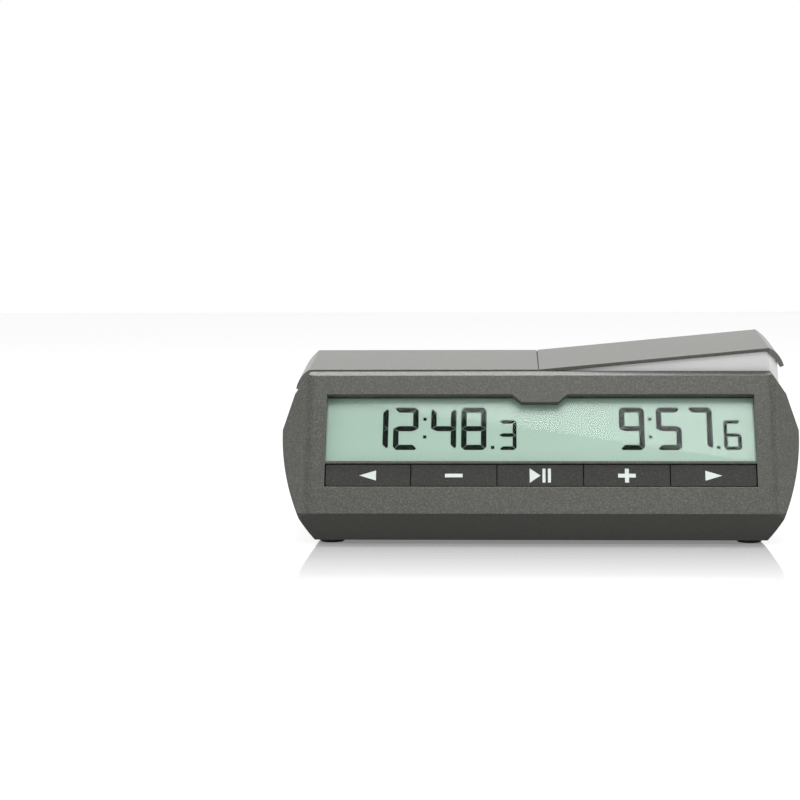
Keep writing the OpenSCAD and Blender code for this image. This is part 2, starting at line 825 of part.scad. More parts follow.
module on_board(x, v) window_frame() translate([x, board_w + board_t, v]) rotate([-90, 0, 0]) children();

module controller_chip() {
    color([0.1, 0.1, 0.11]) on_board(8, 10) {
        translate([-6, -5, 0.1]) cube([12, 10, 1.3]);
        for (i = [-5:5], s = [-1, 1]) translate([i - 0.2, s * 5.6 - 0.8, 0]) cube([0.4, 1.6, 0.3]);
    }
}

module board_crystal() {
    color([0.8, 0.8, 0.82]) on_board(-8, 9) {
        cylinder(r = 1.5, h = 0.6);
        translate([0, 0, 1.5]) rotate([0, 90, 0]) cylinder(r = 1.5, h = 6);
    }
}

module board_capacitors() {
    color([0.2, 0.25, 0.45]) for (p = [[-22, 11], [-29, 11], [28, 11]]) on_board(p[0], p[1]) {
        cylinder(r = 2.5, h = 1.2);
        translate([0, 0, 1.1]) cylinder(r = 2.2, h = 4.2);
    }
}

module piezo_sounder() {
    color([0.12, 0.12, 0.13]) on_board(46, 9.5) difference() {
        cylinder(r = 6, h = 3);
        translate([0, 0, 1.5]) cylinder(r = 0.8, h = 5);
    }
}

// Battery and its contacts

module battery_cell() {
    color([0.75, 0.55, 0.25]) translate([-cell_len / 2 + 1, cell_y, cell_z]) rotate([0, 90, 0]) {
        cylinder(r = cell_r, h = cell_len);
        cylinder(r = 2.7, h = cell_len + 1.2);
    }
}

plate_gap = 0.1;
plate_t2 = 0.4;
spring_wire = 0.7;
spring_r = 3.2;
spring_x0 = -bay_half + plate_gap + plate_t2;
spring_x1 = -cell_len / 2 + 1 - plate_gap;
spring_len = spring_x1 - spring_x0 - spring_wire;
spring_turns = 3.2;
spring_steps = 10;
spring_sides = 6;

// Centre line of the battery's spring, a helix that narrows towards the cell
function spring_point(t) = let (r = spring_r + 1.2 * (1 - t))
    [spring_x0 + spring_wire / 2 + spring_len * t,
     cell_y + r * cos(360 * spring_turns * t), cell_z + r * sin(360 * spring_turns * t)];
spring_count = ceil(spring_turns * spring_steps);
spring_path = [for (i = [0:spring_count]) spring_point(i / spring_count)];
function spring_ring(i) =
    let (a = spring_path[max(i - 1, 0)], b = spring_path[min(i + 1, spring_count)])
    let (t = unit(b - a), u = unit(cross(t, [1, 0, 0])), v = cross(t, u))
    [for (k = [0:spring_sides - 1]) let (g = 360 * k / spring_sides)
        spring_path[i] + spring_wire / 2 * (cos(g) * u + sin(g) * v)];
// Least distance between two points of the coil that are half a turn apart or more
spring_self = min([
    for (i = [0:spring_count], j = [i + floor(spring_steps / 2):1:spring_count])
        norm(spring_path[i] - spring_path[j]) - spring_wire
]);
echo(least_gap_of_battery_spring_to_itself = spring_self);

module battery_spring() {
    n = spring_sides;
    rings = spring_count + 1;
    color([0.8, 0.8, 0.82]) polyhedron(
        points = [for (i = [0:spring_count]) each spring_ring(i)],
        faces = concat(
            [[for (k = [0:n - 1]) n - 1 - k]],
            [[for (k = [0:n - 1]) (rings - 1) * n + k]],
            [for (i = [0:spring_count - 1], k = [0:n - 1])
                each [[i * n + k, i * n + (k + 1) % n, (i + 1) * n + k],
                      [i * n + (k + 1) % n, (i + 1) * n + (k + 1) % n, (i + 1) * n + k]]]
        )
    );
}

module battery_plates() {
    color([0.8, 0.8, 0.8]) {
        for (x = [-bay_half + plate_gap, cell_len / 2 + 1 + 1.2 + 0.1])
            translate([x, cell_y - 5, cell_z - 5]) cube([plate_t2, 10, 10]);
        translate([cell_len / 2 + 1 + 1.2 + 0.1 + plate_t2, cell_y - 2, cell_z - 2])
            cube([bay_half - plate_gap - (cell_len / 2 + 2.3 + plate_t2), 4, 4]);
    }
}

module battery_door() {
    color([0.26, 0.26, 0.25]) difference() {
        intersection() {
            body_solid(0);
            door_solid(0, big);
        }
        // Grip ridges, by grooves between them
        for (i = [0:4]) translate([-8, 14.5 + 1.6 * i, foot_h - 0.5]) cube([16, 0.8, 0.9]);
    }
}

// Power switch

module power_switch() {
    color([0.6, 0.6, 0.62]) translate([power_x, power_y, base_floor_z]) difference() {
        translate([-5, -2.6, 0]) cube([10, 5.2, 3.8]);
        translate([-1.1 - power_travel / 2 - 0.2, -1.1, -1]) cube([2.2 + power_travel + 0.4, 2.2, 3.4]);
    }
}

module power_knob() {
    color([0.12, 0.12, 0.12]) translate([power_x - power_travel / 2, power_y, 0]) {
        difference() {
            translate([-3, -2, foot_h + 0.25]) cube([6, 4, 0.85]);
            for (i = [-2:2]) translate([i - 0.2, -3, foot_h]) cube([0.4, 6, 0.5]);
        }
        translate([-0.8, -0.8, foot_h + 1]) cube([1.6, 1.6, base_floor_z + 2 - foot_h - 1]);
    }
}

// Feet and screws

module rubber_feet() {
    color([0.1, 0.1, 0.1]) for (s = [-1, 1], t = [-1, 1]) translate([s * foot_x, t * foot_y, 0]) {
        cylinder(r1 = foot_r - 0.4, r2 = foot_r, h = 0.4);
        translate([0, 0, 0.4]) cylinder(r = foot_r, h = foot_h + 0.2);
    }
}

// Pan-head screw along +Z with its head's underside at z = 0
module screw(r, len, head_r, head_h) {
    difference() {
        union() {
            cylinder(r = r, h = len);
            translate([0, 0, -head_h]) cylinder(r = head_r, h = head_h);
        }
        for (a = [0, 90]) rotate([0, 0, a]) translate([-head_r * 0.6, -head_r * 0.13, -head_h - eps])
            cube([head_r * 1.2, head_r * 0.26, head_h * 0.6]);
    }
}

module base_screws() {
    color([0.3, 0.3, 0.32]) for (s = [-1, 1], y = base_screw_y)
        translate([s * base_screw_x, y, foot_h + 4.2]) screw(1.1, y < 0 ? 7 : 10, 2.2, 1.5);
}

module deck_screws() {
    color([0.7, 0.7, 0.72]) for (s = [-1, 1], y = deck_screw_y)
        translate([s * deck_screw_x, y, pocket_z - 0.9]) mirror([0, 0, 1]) screw(0.9, 5, 1.7, 0.8);
}

module board_screws() {
    color([0.7, 0.7, 0.72]) for (s = [-1, 1], v = board_hole_v) window_frame()
        translate([s * board_ear_x, board_w + board_t, v]) rotate([90, 0, 0]) screw(0.8, 5, 1.6, 1);
}

module key_board_screws() {
    color([0.7, 0.7, 0.72]) for (i = key_post_x) face_frame()
        translate([i * pitch, key_board_w + key_board_t, key_s]) rotate([90, 0, 0]) screw(0.7, 3.6, 1.4, 0.8);
}

module switch_board_screws() {
    color([0.7, 0.7, 0.72]) for (s = [-1, 1])
        translate([s * 21, plunger_y, switch_board_z]) screw(0.8, 5, 1.6, 1);
}

main_housing();
base_cover();
rocker_cover();
rocker_skirt();
rocker_pin();
inner_deck();
rocker_bumpers();
plunger_left();
plunger_right();
switch_bodies();
switch_board();
button_back();
button_minus();
button_play();
button_plus();
button_forward();
key_mat();
key_board();
display_window();
lcd_glass();
lcd_bracket();
zebra_strip();
main_board();
controller_chip();
board_crystal();
board_capacitors();
piezo_sounder();
battery_cell();
battery_spring();
battery_plates();
battery_door();
power_switch();
power_knob();
rubber_feet();
base_screws();
deck_screws();
board_screws();
key_board_screws();
switch_board_screws();
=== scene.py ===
from math import pi, radians, sin

import bmesh
import bpy
from mathutils import Matrix, Vector


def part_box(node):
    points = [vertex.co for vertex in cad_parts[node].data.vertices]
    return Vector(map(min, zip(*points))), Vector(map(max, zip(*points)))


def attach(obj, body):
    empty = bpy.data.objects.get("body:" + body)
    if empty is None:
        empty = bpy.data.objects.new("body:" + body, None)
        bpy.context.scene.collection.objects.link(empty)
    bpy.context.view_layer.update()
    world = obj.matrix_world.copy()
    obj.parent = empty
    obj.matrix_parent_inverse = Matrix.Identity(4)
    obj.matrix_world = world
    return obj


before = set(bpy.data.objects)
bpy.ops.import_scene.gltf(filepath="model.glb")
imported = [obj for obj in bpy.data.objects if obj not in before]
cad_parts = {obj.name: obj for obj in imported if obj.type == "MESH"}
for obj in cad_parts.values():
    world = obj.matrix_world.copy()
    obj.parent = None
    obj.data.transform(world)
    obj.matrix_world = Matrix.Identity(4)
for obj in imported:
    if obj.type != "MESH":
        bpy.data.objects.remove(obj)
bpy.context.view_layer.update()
mm = 0.001


def screenColour(red, green, blue):      # a colour as a screen shows it, 0 to 255, made linear
    def linear(value):
        value = value / 255
        return value / 12.92 if value <= 0.04045 else ((value + 0.055) / 1.055) ** 2.4
    return (linear(red), linear(green), linear(blue), 1.0)


def shade(colour, factor):
    return tuple(min(1.0, value * factor) for value in colour[:3]) + (1.0,)


# shader trees

class Wire:
    # an output socket that takes part in sums, products and powers
    def __init__(self, tree, socket):
        self.tree = tree
        self.socket = socket

    def maths(self, operation, left, right):
        node = self.tree.nodes.new("ShaderNodeMath")
        node.operation = operation
        for slot, value in enumerate((left, right)):
            if isinstance(value, Wire):
                self.tree.links.new(value.socket, node.inputs[slot])
            else:
                node.inputs[slot].default_value = value
        return Wire(self.tree, node.outputs[0])

    def __add__(self, other):
        return self.maths("ADD", self, other)

    def __sub__(self, other):
        return self.maths("SUBTRACT", self, other)

    def __rsub__(self, other):
        return self.maths("SUBTRACT", other, self)

    def __mul__(self, other):
        return self.maths("MULTIPLY", self, other)

    def __pow__(self, other):
        return self.maths("POWER", self, other)

    __radd__ = __add__
    __rmul__ = __mul__


class Finish:
    # one material: a Principled shader and the nodes that feed it
    def __init__(self, name, **shell):
        self.material = bpy.data.materials.new(name)
        self.material.use_nodes = True
        self.tree = self.material.node_tree
        self.shader = self.tree.nodes["Principled BSDF"]
        self.setAll(self.shader, shell)

    def setAll(self, node, sockets):
        for name, value in sockets.items():
            key = name.replace("_", " ") if isinstance(name, str) else name
            if isinstance(value, Wire):
                self.tree.links.new(value.socket, node.inputs[key])
            else:
                node.inputs[key].default_value = value

    def add(self, kind, settings=None, sockets=None, out=0):
        node = self.tree.nodes.new(kind)
        for name, value in (settings or {}).items():
            setattr(node, name, value)
        self.setAll(node, sockets or {})
        return Wire(self.tree, node.outputs[out])

    def place(self):
        return self.add("ShaderNodeTexCoord", out="Object")

    def noise(self, perMetre, detail=2.0, roughness=0.5, vector=None):
        return self.add("ShaderNodeTexNoise", None,
                        {"Vector": vector or self.place(), "Scale": perMetre, "Detail": detail,
                         "Roughness": roughness}, "Fac")

    def span(self, wire, low, high, newLow, newHigh):
        return self.add("ShaderNodeMapRange", None,
                        {"Value": wire, "From Min": low, "From Max": high,
                         "To Min": newLow, "To Max": newHigh})

    def blendColour(self, factor, first, second, how="MIX"):
        node = self.tree.nodes.new("ShaderNodeMix")
        node.data_type = "RGBA"
        node.blend_type = how
        self.setAll(node, {0: factor, 6: first, 7: second})
        return Wire(self.tree, node.outputs[2])

    def edges(self, radius):             # rounds the light over sharp edges
        return self.add("ShaderNodeBevel", {"samples": 6}, {"Radius": radius})

    def bump(self, height, distance, strength=1.0, normal=None):
        sockets = {"Height": height, "Distance": distance, "Strength": strength}
        if normal:
            sockets["Normal"] = normal
        return self.add("ShaderNodeBump", None, sockets)

    def shaderWire(self):
        return Wire(self.tree, self.shader.outputs[0])

    def feed(self, **sockets):
        self.setAll(self.shader, sockets)
        return self.material

    def blendShaders(self, factor, first, second):
        mixed = self.add("ShaderNodeMixShader", None, {0: factor, 1: first, 2: second})
        self.tree.links.new(mixed.socket, self.tree.nodes["Material Output"].inputs["Surface"])
        return self.material


# finishes

plasticFinish = dict(grainPerMetre=5200, cloudPerMetre=38, flakesPerMetre=3800, edgeRadius=0.28 * mm,
                     darkFlake=0.4, coatRoughness=0.2, smoother=0.05, rougher=0.07, reliefStrength=0.6)


def mouldedPlastic(name, colour, roughness=0.45, grain=0.02, speckle=0.0, drift=0.06, specular=0.5,
                   coat=0.0, metallic=0.0, fleck=(0.35, 0.35, 0.34, 1.0), edge=1.0):
    finish = Finish(name, Specular_IOR_Level=specular, Metallic=metallic, Coat_Weight=coat,
                    Coat_Roughness=plasticFinish["coatRoughness"])
    fine = finish.noise(plasticFinish["grainPerMetre"], 3.0, 0.6)
    cloud = finish.noise(plasticFinish["cloudPerMetre"], 3.0)
    body = finish.blendColour(finish.span(cloud, 0.35, 0.65, 0.0, 1.0), shade(colour, 1 - drift),
                              shade(colour, 1 + drift))
    if speckle:
        flakes = finish.add("ShaderNodeTexVoronoi", {"feature": "F1"},
                            {"Vector": finish.place(), "Scale": plasticFinish["flakesPerMetre"]}, "Color")
        pick = finish.add("ShaderNodeSeparateColor", None, {"Color": flakes}, 0)
        body = finish.blendColour(finish.span(pick, 0.55, 1.0, 0.0, speckle), body, fleck)
        body = finish.blendColour(finish.span(pick, 0.0, 0.4, speckle, 0.0), body,
                                  shade(colour, plasticFinish["darkFlake"]))
    rough = finish.span(fine, 0.3, 0.7, roughness - plasticFinish["smoother"],
                        roughness + plasticFinish["rougher"])
    normal = finish.bump(fine, grain * mm, plasticFinish["reliefStrength"],
                         finish.edges(plasticFinish["edgeRadius"] * edge))
    return finish.feed(Base_Color=body, Roughness=rough, Normal=normal)


metalFinish = dict(linesPerMetre=900, relief=0.01 * mm, reliefStrength=0.5, edgeRadius=0.1 * mm,
                   darkLine=0.85, smoother=0.06, rougher=0.1)


def metal(name, colour, roughness=0.3, streaks=(1, 1, 1)):
    finish = Finish(name, Metallic=1.0)
    stretched = finish.add("ShaderNodeMapping", None, {"Vector": finish.place(), "Scale": streaks})
    lines = finish.noise(metalFinish["linesPerMetre"], 4.0, 0.6, stretched)
    body = finish.blendColour(finish.span(lines, 0.3, 0.7, 0.0, 1.0),
                              shade(colour, metalFinish["darkLine"]), colour)
    rough = finish.span(lines, 0.3, 0.7, roughness - metalFinish["smoother"],
                        roughness + metalFinish["rougher"])
    normal = finish.bump(lines, metalFinish["relief"], metalFinish["reliefStrength"],
                         finish.edges(metalFinish["edgeRadius"]))
    return finish.feed(Base_Color=body, Roughness=rough, Normal=normal)


rubberFinish = dict(poresPerMetre=2200, relief=0.05 * mm, reliefStrength=0.7, edgeRadius=0.3 * mm,
                    specular=0.35, darkPore=0.8, smoother=0.08, rougher=0.1)


def softRubber(name, colour, roughness=0.75):
    finish = Finish(name, Specular_IOR_Level=rubberFinish["specular"])
    pores = finish.noise(rubberFinish["poresPerMetre"], 4.0, 0.65)
    body = finish.blendColour(finish.span(pores, 0.35, 0.65, 0.0, 1.0),
                              shade(colour, rubberFinish["darkPore"]), colour)
    rough = finish.span(pores, 0.3, 0.7, roughness - rubberFinish["smoother"],
                        roughness + rubberFinish["rougher"])
    normal = finish.bump(pores, rubberFinish["relief"], rubberFinish["reliefStrength"],
                         finish.edges(rubberFinish["edgeRadius"]))
    return finish.feed(Base_Color=body, Roughness=rough, Normal=normal)


paneFinish = dict(smearsPerMetre=60, tint=(0.97, 0.985, 0.975, 1.0), facingShine=0.006, sharpest=0.015,
                  dullest=0.04, aslantPower=5)


def clearPane(name):
    # light and shadow pass straight through, and the surface adds a thin shine
    # that grows when seen aslant
    finish = Finish(name)
    smear = finish.noise(paneFinish["smearsPerMetre"], 3.0)
    clear = finish.add("ShaderNodeBsdfTransparent", None, {"Color": paneFinish["tint"]})
    rough = finish.span(smear, 0.4, 0.7, paneFinish["sharpest"], paneFinish["dullest"])
    gloss = finish.add("ShaderNodeBsdfGlossy", None, {"Color": (1, 1, 1, 1), "Roughness": rough})
    aslant = finish.add("ShaderNodeLayerWeight", None, {"Blend": 0.5}, "Facing")
    least = paneFinish["facingShine"]
    shine = least + (1 - least) * aslant ** paneFinish["aslantPower"]
    return finish.blendShaders(shine, clear, gloss)


displayFinish = dict(light=screenColour(160, 184, 171), dark=screenColour(155, 179, 166),
                     speck=screenColour(120, 150, 136), speckShare=0.05, cloudsPerMetre=14,
                     specksPerMetre=6500, specular=0.4, roughness=0.25, relief=0.004 * mm,
                     reliefStrength=0.3)


def displayGlass(name):
    finish = Finish(name, Specular_IOR_Level=displayFinish["specular"],
                    Roughness=displayFinish["roughness"])
    cloud = finish.noise(displayFinish["cloudsPerMetre"], 2.0)
    grain = finish.noise(displayFinish["specksPerMetre"], 2.0)
    body = finish.blendColour(finish.span(cloud, 0.35, 0.65, 0.0, 1.0), displayFinish["dark"],
                              displayFinish["light"])
    body = finish.blendColour(finish.span(grain, 0.3, 0.7, 0.0, displayFinish["speckShare"]), body,
                              displayFinish["speck"])
    normal = finish.bump(grain, displayFinish["relief"], displayFinish["reliefStrength"])
    return finish.feed(Base_Color=body, Normal=normal)


boardFinish = dict(lanesPerMetre=220.0, laneGap=0.06, weavesPerMetre=1500, firstGreen=(0.02, 0.14, 0.06, 1),
                   secondGreen=(0.025, 0.17, 0.075, 1), track=(0.05, 0.26, 0.12, 1), specular=0.5,
                   smoothest=0.28, roughest=0.42, relief=0.02 * mm, reliefStrength=0.5,
                   edgeRadius=0.15 * mm)


def circuitBoard(name):
    finish = Finish(name, Specular_IOR_Level=boardFinish["specular"])
    lanes = finish.add("ShaderNodeTexBrick", None,
                       {"Vector": finish.place(), "Scale": boardFinish["lanesPerMetre"],
                        "Mortar Size": boardFinish["laneGap"], "Color1": boardFinish["firstGreen"],
                        "Color2": boardFinish["secondGreen"], "Mortar": boardFinish["track"]})
    weave = finish.noise(boardFinish["weavesPerMetre"], 3.0)
    rough = finish.span(weave, 0.3, 0.7, boardFinish["smoothest"], boardFinish["roughest"])
    normal = finish.bump(weave, boardFinish["relief"], boardFinish["reliefStrength"],
                         finish.edges(boardFinish["edgeRadius"]))
    return finish.feed(Base_Color=lanes, Roughness=rough, Normal=normal)


print("finishes")
finishes = {
    "housing": mouldedPlastic("housingPlastic", screenColour(51, 52, 45), 0.4, 0.03, 0.45, 0.03,
                              fleck=screenColour(104, 105, 98)),
    # the base plastic is the housing plastic with its colour and flecks made darker: painted shade for the
    # underside that faces down and forward
    "base": mouldedPlastic("shadedBasePlastic", screenColour(39, 40, 35), 0.5, 0.03, 0.2, 0.04, specular=0.3,
                           fleck=screenColour(62, 63, 57)),
    "seesaw": mouldedPlastic("seesawPlastic", screenColour(66, 67, 61), 0.24, 0.02, 0.25, 0.03,
                             specular=0.65, fleck=screenColour(104, 105, 98)),
    "skirt": mouldedPlastic("skirtPlastic", screenColour(207, 207, 207), 0.35, 0.01, 0.0, 0.02),
    "deck": mouldedPlastic("deckPlastic", screenColour(120, 120, 116), 0.5, 0.02),
    "key": mouldedPlastic("keyPlastic", screenColour(42, 42, 40), 0.62, 0.09, 0.3, 0.05, specular=0.25,
                          fleck=screenColour(82, 82, 79), edge=0.8),
    "icon": mouldedPlastic("iconInk", screenColour(200, 210, 205), 0.5, 0.01, 0.0, 0.02, edge=0.2),
    "window": clearPane("windowAcrylic"),
    "display": displayGlass("displayGlass"),
    "segment": mouldedPlastic("segmentInk", screenColour(12, 22, 17),
                              0.6, 0.003, 0.0, 0.1, specular=0.0, edge=0.2),
    "rubber": softRubber("blackRubber", screenColour(34, 34, 34)),
    "silicone": softRubber("matSilicone", screenColour(190, 190, 184), 0.6),
    "zebra": softRubber("zebraRubber", screenColour(205, 140, 140), 0.6),
    "acetal": mouldedPlastic("acetal", screenColour(226, 218, 198), 0.4, 0.01),
    "black": mouldedPlastic("blackPlastic", screenColour(34, 34, 36), 0.45, 0.03),
    "bracket": mouldedPlastic("bracketPlastic", screenColour(214, 214, 210), 0.45, 0.02),
    "board": circuitBoard("circuitBoard"),
    "steel": metal("pinSteel", (0.56, 0.56, 0.57, 1), 0.28, (1, 0.05, 1)),
    "nickel": metal("nickelPlate", (0.7, 0.68, 0.64, 1), 0.22),
    "zinc": metal("zincPlate", (0.62, 0.62, 0.64, 1), 0.32),
    "blackOxide": metal("blackOxide", (0.08, 0.08, 0.085, 1), 0.45),
    "can": metal("crystalCan", (0.75, 0.75, 0.77, 1), 0.25, (0.1, 1, 1)),
    "capacitor": mouldedPlastic("capacitorSleeve", screenColour(48, 62, 110), 0.3, 0.01),
    "jacket": mouldedPlastic("cellJacket", screenColour(176, 142, 66), 0.3, 0.01, metallic=0.4),
}

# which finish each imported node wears
nodeFinish = {
    "main_housing": "housing", "base_cover": "base", "battery_door": "base", "rocker_cover": "seesaw",
    "rocker_skirt": "skirt", "rocker_pin": "steel", "inner_deck": "deck", "rocker_bumpers": "rubber",
    "plunger_left": "acetal", "plunger_right": "acetal", "switch_bodies": "black", "switch_board": "board",
    "button_back": "key", "button_minus": "key", "button_play": "key", "button_plus": "key",
    "button_forward": "key", "key_mat": "silicone", "key_board": "board", "display_window": "window",
    "lcd_glass": "display", "lcd_bracket": "bracket", "zebra_strip": "zebra", "main_board": "board",
    "controller_chip": "black", "board_crystal": "can", "board_capacitors": "capacitor",
    "piezo_sounder": "black", "battery_cell": "jacket", "battery_spring": "nickel",
    "battery_plates": "nickel", "power_switch": "black", "power_knob": "black", "rubber_feet": "rubber",
    "base_screws": "blackOxide", "deck_screws": "zinc", "board_screws": "zinc",
    "key_board_screws": "zinc", "switch_board_screws": "zinc",
}
for nodeName, finishName in nodeFinish.items():
    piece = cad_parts[nodeName]
    piece.data.materials.clear()
    piece.data.materials.append(finishes[finishName])

# placing frames: the window leans back, and so does the front face

windowSizes = dict(lean=radians(28), paneThickness=0.8 * mm, inkDepth=0.85 * mm)
faceSizes = dict(lean=radians(24), lowerEdge=(0, -26.5 * mm, 9.2 * mm))


def leaningFrame(origin, lean):          # x across, y into the body, z up the leaning plane
    return Matrix.Translation(origin) @ Matrix.Rotation(-lean, 4, "X")


# the window's front lower edge is its lowest y, and lies above its lowest z by the pane's own lean
windowLow = Vector(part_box("display_window")[0])
windowRise = windowSizes["paneThickness"] * sin(windowSizes["lean"])
windowFrame = leaningFrame(Vector((0, windowLow.y, windowLow.z + windowRise)), windowSizes["lean"])
faceFrame = leaningFrame(Vector(faceSizes["lowerEdge"]), faceSizes["lean"])


def finishPiece(name, mesh, finishName, bodyName):
    piece = bpy.data.objects.new(name, mesh)
    bpy.context.scene.collection.objects.link(piece)
    mesh.materials.clear()
    mesh.materials.append(finishes[finishName])
    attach(piece, bodyName)
    return piece


# display digits: five kinds of bar, set out by a node tree

digitSizes = dict(height=13.75 * mm, width=7.55 * mm, stroke=1.65 * mm, gap=0.16 * mm, base=3.95 * mm,
                  smallHeight=9.6 * mm, smallWidth=5.3 * mm, smallStroke=1.15 * mm, thickness=0.04 * mm,
                  cornerCut=0.28, dotHalf=0.5 * mm)
segmentsOf = {"1": "bct", "2": "abged", "3": "abgcd", "4": "fgbc", "5": "afgcd", "6": "afgecd",
              "7": "abct", "8": "abcdefg", "9": "abcdfg"}
bigDigits = [("1", -52.75), ("2", -43.75), ("4", -32.45), ("8", -23.45), ("9", 23.55), ("5", 34.55),
             ("7", 43.65)]
smallDigits = [("3", -12.25), ("6", 54.45)]
dots = [(-34.3, 8.15), (-34.3, 13.9), (32.75, 8.15), (32.75, 13.9), (-14.05, 4.75), (52.8, 4.75)]
# kind of bar for each segment, and how far it is turned about its digit's middle; t closes a plain upright
barKinds = 5
segmentKind = {"a": (0, 0), "d": (0, pi), "b": (1, 0), "e": (1, pi), "c": (2, 0), "f": (2, pi),
               "g": (3, 0), "t": (4, 0)}


def barOutlines(width, height, stroke):
    # upper, upper right, lower right and middle bar and the small tip, round the digit's middle
    gap, cut = digitSizes["gap"] / 2, digitSizes["cornerCut"] * stroke
    w, h, half = width / 2, height / 2, stroke / 2
    upper = [(-w + stroke + gap, h - stroke), (w - stroke - gap, h - stroke), (w - cut - gap, h - cut),
             (w - 2 * cut - gap, h), (-w + 2 * cut + gap, h), (-w + cut + gap, h - cut)]
    right = [(w - stroke, half + gap), (w, gap), (w, h - 2 * cut - gap), (w - cut, h - cut - gap),
             (w - stroke, h - stroke - gap)]
    lower = [(x, -z) for x, z in reversed(right)]
    middle = [(-w + gap, 0), (-w + stroke + gap, -half), (w - stroke - gap, -half), (w - gap, 0),
              (w - stroke - gap, half), (-w + stroke + gap, half)]
    tip = [(w - stroke, -half), (w - gap, 0), (w - stroke, half)]
    return [upper, right, lower, middle, tip]


def segmentTree():
    tree = bpy.data.node_groups.new("segmentBars", "GeometryNodeTree")
    tree.interface.new_socket("Geometry", in_out="INPUT", socket_type="NodeSocketGeometry")
    for kind in range(barKinds):
        tree.interface.new_socket("Bar %d" % kind, in_out="INPUT", socket_type="NodeSocketObject")
    tree.interface.new_socket("Ink", in_out="INPUT", socket_type="NodeSocketMaterial")
    tree.interface.new_socket("Geometry", in_out="OUTPUT", socket_type="NodeSocketGeometry")

    def add(kind, settings=None, sockets=None):
        node = tree.nodes.new(kind)
        for name, value in (settings or {}).items():
            setattr(node, name, value)
        for name, value in (sockets or {}).items():
            if isinstance(value, bpy.types.NodeSocket):
                tree.links.new(value, node.inputs[name])
            else:
                node.inputs[name].default_value = value
        return node

    given = add("NodeGroupInput")
    turn = add("GeometryNodeInputNamedAttribute", {"data_type": "FLOAT_VECTOR"}, {"Name": "turn"})
    kindOf = add("GeometryNodeInputNamedAttribute", {"data_type": "FLOAT"}, {"Name": "kind"})
    points = add("GeometryNodeMeshToPoints", None, {"Mesh": given.outputs["Geometry"]})
    together = add("GeometryNodeJoinGeometry")
    for kind in range(barKinds):
        chosen = add("FunctionNodeCompare", {"data_type": "FLOAT", "operation": "EQUAL"},
                     {"A": kindOf.outputs[0], "B": float(kind), "Epsilon": 0.1})
        bar = add("GeometryNodeObjectInfo", None, {"Object": given.outputs["Bar %d" % kind]})
        copies = add("GeometryNodeInstanceOnPoints", None,
                     {"Points": points.outputs[0], "Selection": chosen.outputs[0],
                      "Instance": bar.outputs["Geometry"], "Rotation": turn.outputs[0]})
        tree.links.new(copies.outputs[0], together.inputs[0])
    real = add("GeometryNodeRealizeInstances", None, {"Geometry": together.outputs[0]})
    ink = add("GeometryNodeSetMaterial", None,
              {"Geometry": real.outputs[0], "Material": given.outputs["Ink"]})
    add("NodeGroupOutput", None, {"Geometry": ink.outputs[0]})
    return tree


def socketName(tree, name):
    return next(item.identifier for item in tree.interface.items_tree
                if item.name == name and item.in_out == "INPUT")


def prism(name, outline, y0, y1):
    # a flat outline in x and z, given a thickness along y
    mesh = bpy.data.meshes.new(name)
    shape = bmesh.new()
    near = [shape.verts.new((x, y0, z)) for x, z in outline]
    far = [shape.verts.new((x, y1, z)) for x, z in outline]
    shape.faces.new(near)
    shape.faces.new(list(reversed(far)))
    count = len(outline)
    for i in range(count):
        shape.faces.new((near[i], near[(i + 1) % count], far[(i + 1) % count], far[i])[::-1])
    bmesh.ops.recalc_face_normals(shape, faces=shape.faces)
    shape.to_mesh(mesh)
    shape.free()
    return mesh


def joined(name, meshes):
    shape = bmesh.new()
    for mesh in meshes:
        shape.from_mesh(mesh)
        bpy.data.meshes.remove(mesh)
    mesh = bpy.data.meshes.new(name)
    shape.to_mesh(mesh)
    shape.free()
    return mesh


def setOut(name, digits, width, height, stroke):
    # one mesh of every lit bar of one size of digit
    middle = digitSizes["base"] + height / 2
    marks = [(left * mm + width / 2, letter) for digit, left in digits for letter in segmentsOf[digit]]
    points = bpy.data.meshes.new(name + "Points")
    points.from_pydata([(x, windowSizes["inkDepth"], middle) for x, _ in marks], [], [])
    points.attributes.new("turn", "FLOAT_VECTOR", "POINT")
    points.attributes.new("kind", "FLOAT", "POINT")
    for i, (_, letter) in enumerate(marks):
        kind, angle = segmentKind[letter]
        points.attributes["kind"].data[i].value = kind
        points.attributes["turn"].data[i].vector = (0, angle, 0)
    holder = bpy.data.objects.new(name + "Holder", points)
    bars = [bpy.data.objects.new("%sBar%d" % (name, i), prism("bar", outline, 0.0, digitSizes["thickness"]))
            for i, outline in enumerate(barOutlines(width, height, stroke))]
    for thing in [holder] + bars:
        bpy.context.scene.collection.objects.link(thing)
    modifier = holder.modifiers.new("bars", "NODES")
    modifier.node_group = segmentTree()
    for i, bar in enumerate(bars):
        modifier[socketName(modifier.node_group, "Bar %d" % i)] = bar
    modifier[socketName(modifier.node_group, "Ink")] = finishes["segment"]
    bpy.context.view_layer.update()
    mesh = bpy.data.meshes.new_from_object(holder.evaluated_get(bpy.context.evaluated_depsgraph_get()))
    for thing in [holder] + bars:
        bpy.data.objects.remove(thing)
    return mesh


print("display digits")
parts = [setOut("bigDigits", bigDigits, digitSizes["width"], digitSizes["height"], digitSizes["stroke"]),
         setOut("smallDigits", smallDigits, digitSizes["smallWidth"], digitSizes["smallHeight"],
                digitSizes["smallStroke"])]
dotHalf, dotDepth = digitSizes["dotHalf"], windowSizes["inkDepth"]
for x, z in dots:
    x, z = x * mm, z * mm
    parts.append(prism("dot", [(x - dotHalf, z - dotHalf), (x + dotHalf, z - dotHalf),
                               (x + dotHalf, z + dotHalf), (x - dotHalf, z + dotHalf)],
                       dotDepth, dotDepth + digitSizes["thickness"]))
digitMesh = joined("displaySegments", parts)
digitMesh.transform(windowFrame)
finishPiece("displaySegments", digitMesh, "segment", "housing")

# button icons, printed in the shallow marks of the keys

